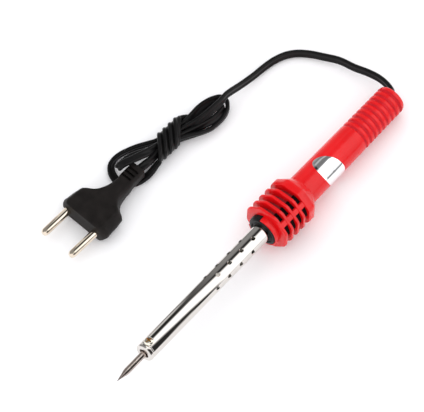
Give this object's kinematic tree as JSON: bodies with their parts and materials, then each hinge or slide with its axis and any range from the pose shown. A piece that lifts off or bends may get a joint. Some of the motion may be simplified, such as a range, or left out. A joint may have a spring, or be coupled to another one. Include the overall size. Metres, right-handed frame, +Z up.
{
  "type": "pencil soldering iron",
  "caption": "Pencil soldering iron with a grooved plastic handle, finned octagonal hand guard, vented metal barrel, pointed screw-held tip, flat twin cord and moulded mains plug.",
  "frame": {"origin": "bottom centre of the iron's own bounding box, without its cord and plug, on the table plane", "axes": "+X along the iron from the handle's rear end towards the tip, +Z up, +Y to the left of the tip direction"},
  "size_m": [0.2292, 0.1063, 0.0272],
  "materials": {
    "red_plastic": "semi-gloss moulded",
    "label_foil": "mirror foil",
    "black_bakelite": "satin moulded phenolic",
    "polished_nickel": "polished nickel plate",
    "plain_steel": "plain drawn",
    "nichrome": "drawn wire",
    "mica": "matt sheet",
    "ceramic": "unglazed",
    "glass_fibre": "woven sleeve",
    "brass": "plain",
    "copper": "bare copper wire",
    "cord_sheath": "satin PVC",
    "plated_copper": "plated, fine turned",
    "screw_steel": "yellow zinc plated",
    "black_rubber": "matt moulded",
    "pin_nickel": "nickel plated brass"
  },
  "bodies": {
    "iron": {"handle": "red_plastic", "label": "label_foil", "front_bush": "black_bakelite", "barrel": "polished_nickel", "heater_core": "plain_steel", "mica_inner_sleeve": "mica", "mica_outer_sleeve": "mica", "heating_coil": "nichrome", "front_spacer": "ceramic", "rear_insulator": "ceramic", "lead_sleeve_left": "glass_fibre", "lead_sleeve_right": "glass_fibre", "heater_lead_left": "nichrome", "heater_lead_right": "nichrome", "crimp_left": "brass", "crimp_right": "brass", "cord_core_left": "copper", "cord_core_right": "copper", "cord_inside_handle": "cord_sheath", "cord_clamp": "plain_steel", "plug_body": "black_rubber", "plug_pin_left": "pin_nickel", "plug_pin_right": "pin_nickel", "cord_lead": "cord_sheath", "cord_loop": "cord_sheath", "cord_bight": "cord_sheath", "cord_tail": "cord_sheath", "cord_hank": "cord_sheath"},
    "tip": {"tip": "plated_copper"},
    "tip_screw": {"tip_screw": "screw_steel"}
  },
  "joints": [
    {"name": "tip_slide", "type": "slide", "parent": "iron", "child": "tip", "axis": [0.9981, 0, 0.0617], "range_m": [0, 0.05]},
    {"name": "tip_screw_turn", "type": "hinge", "parent": "iron", "child": "tip_screw", "pos_m": [0.08432, -0.00065, 0.0254], "axis": [-0.0613, -0.1219, 0.9907], "range_deg": [0, 720]}
  ]
}
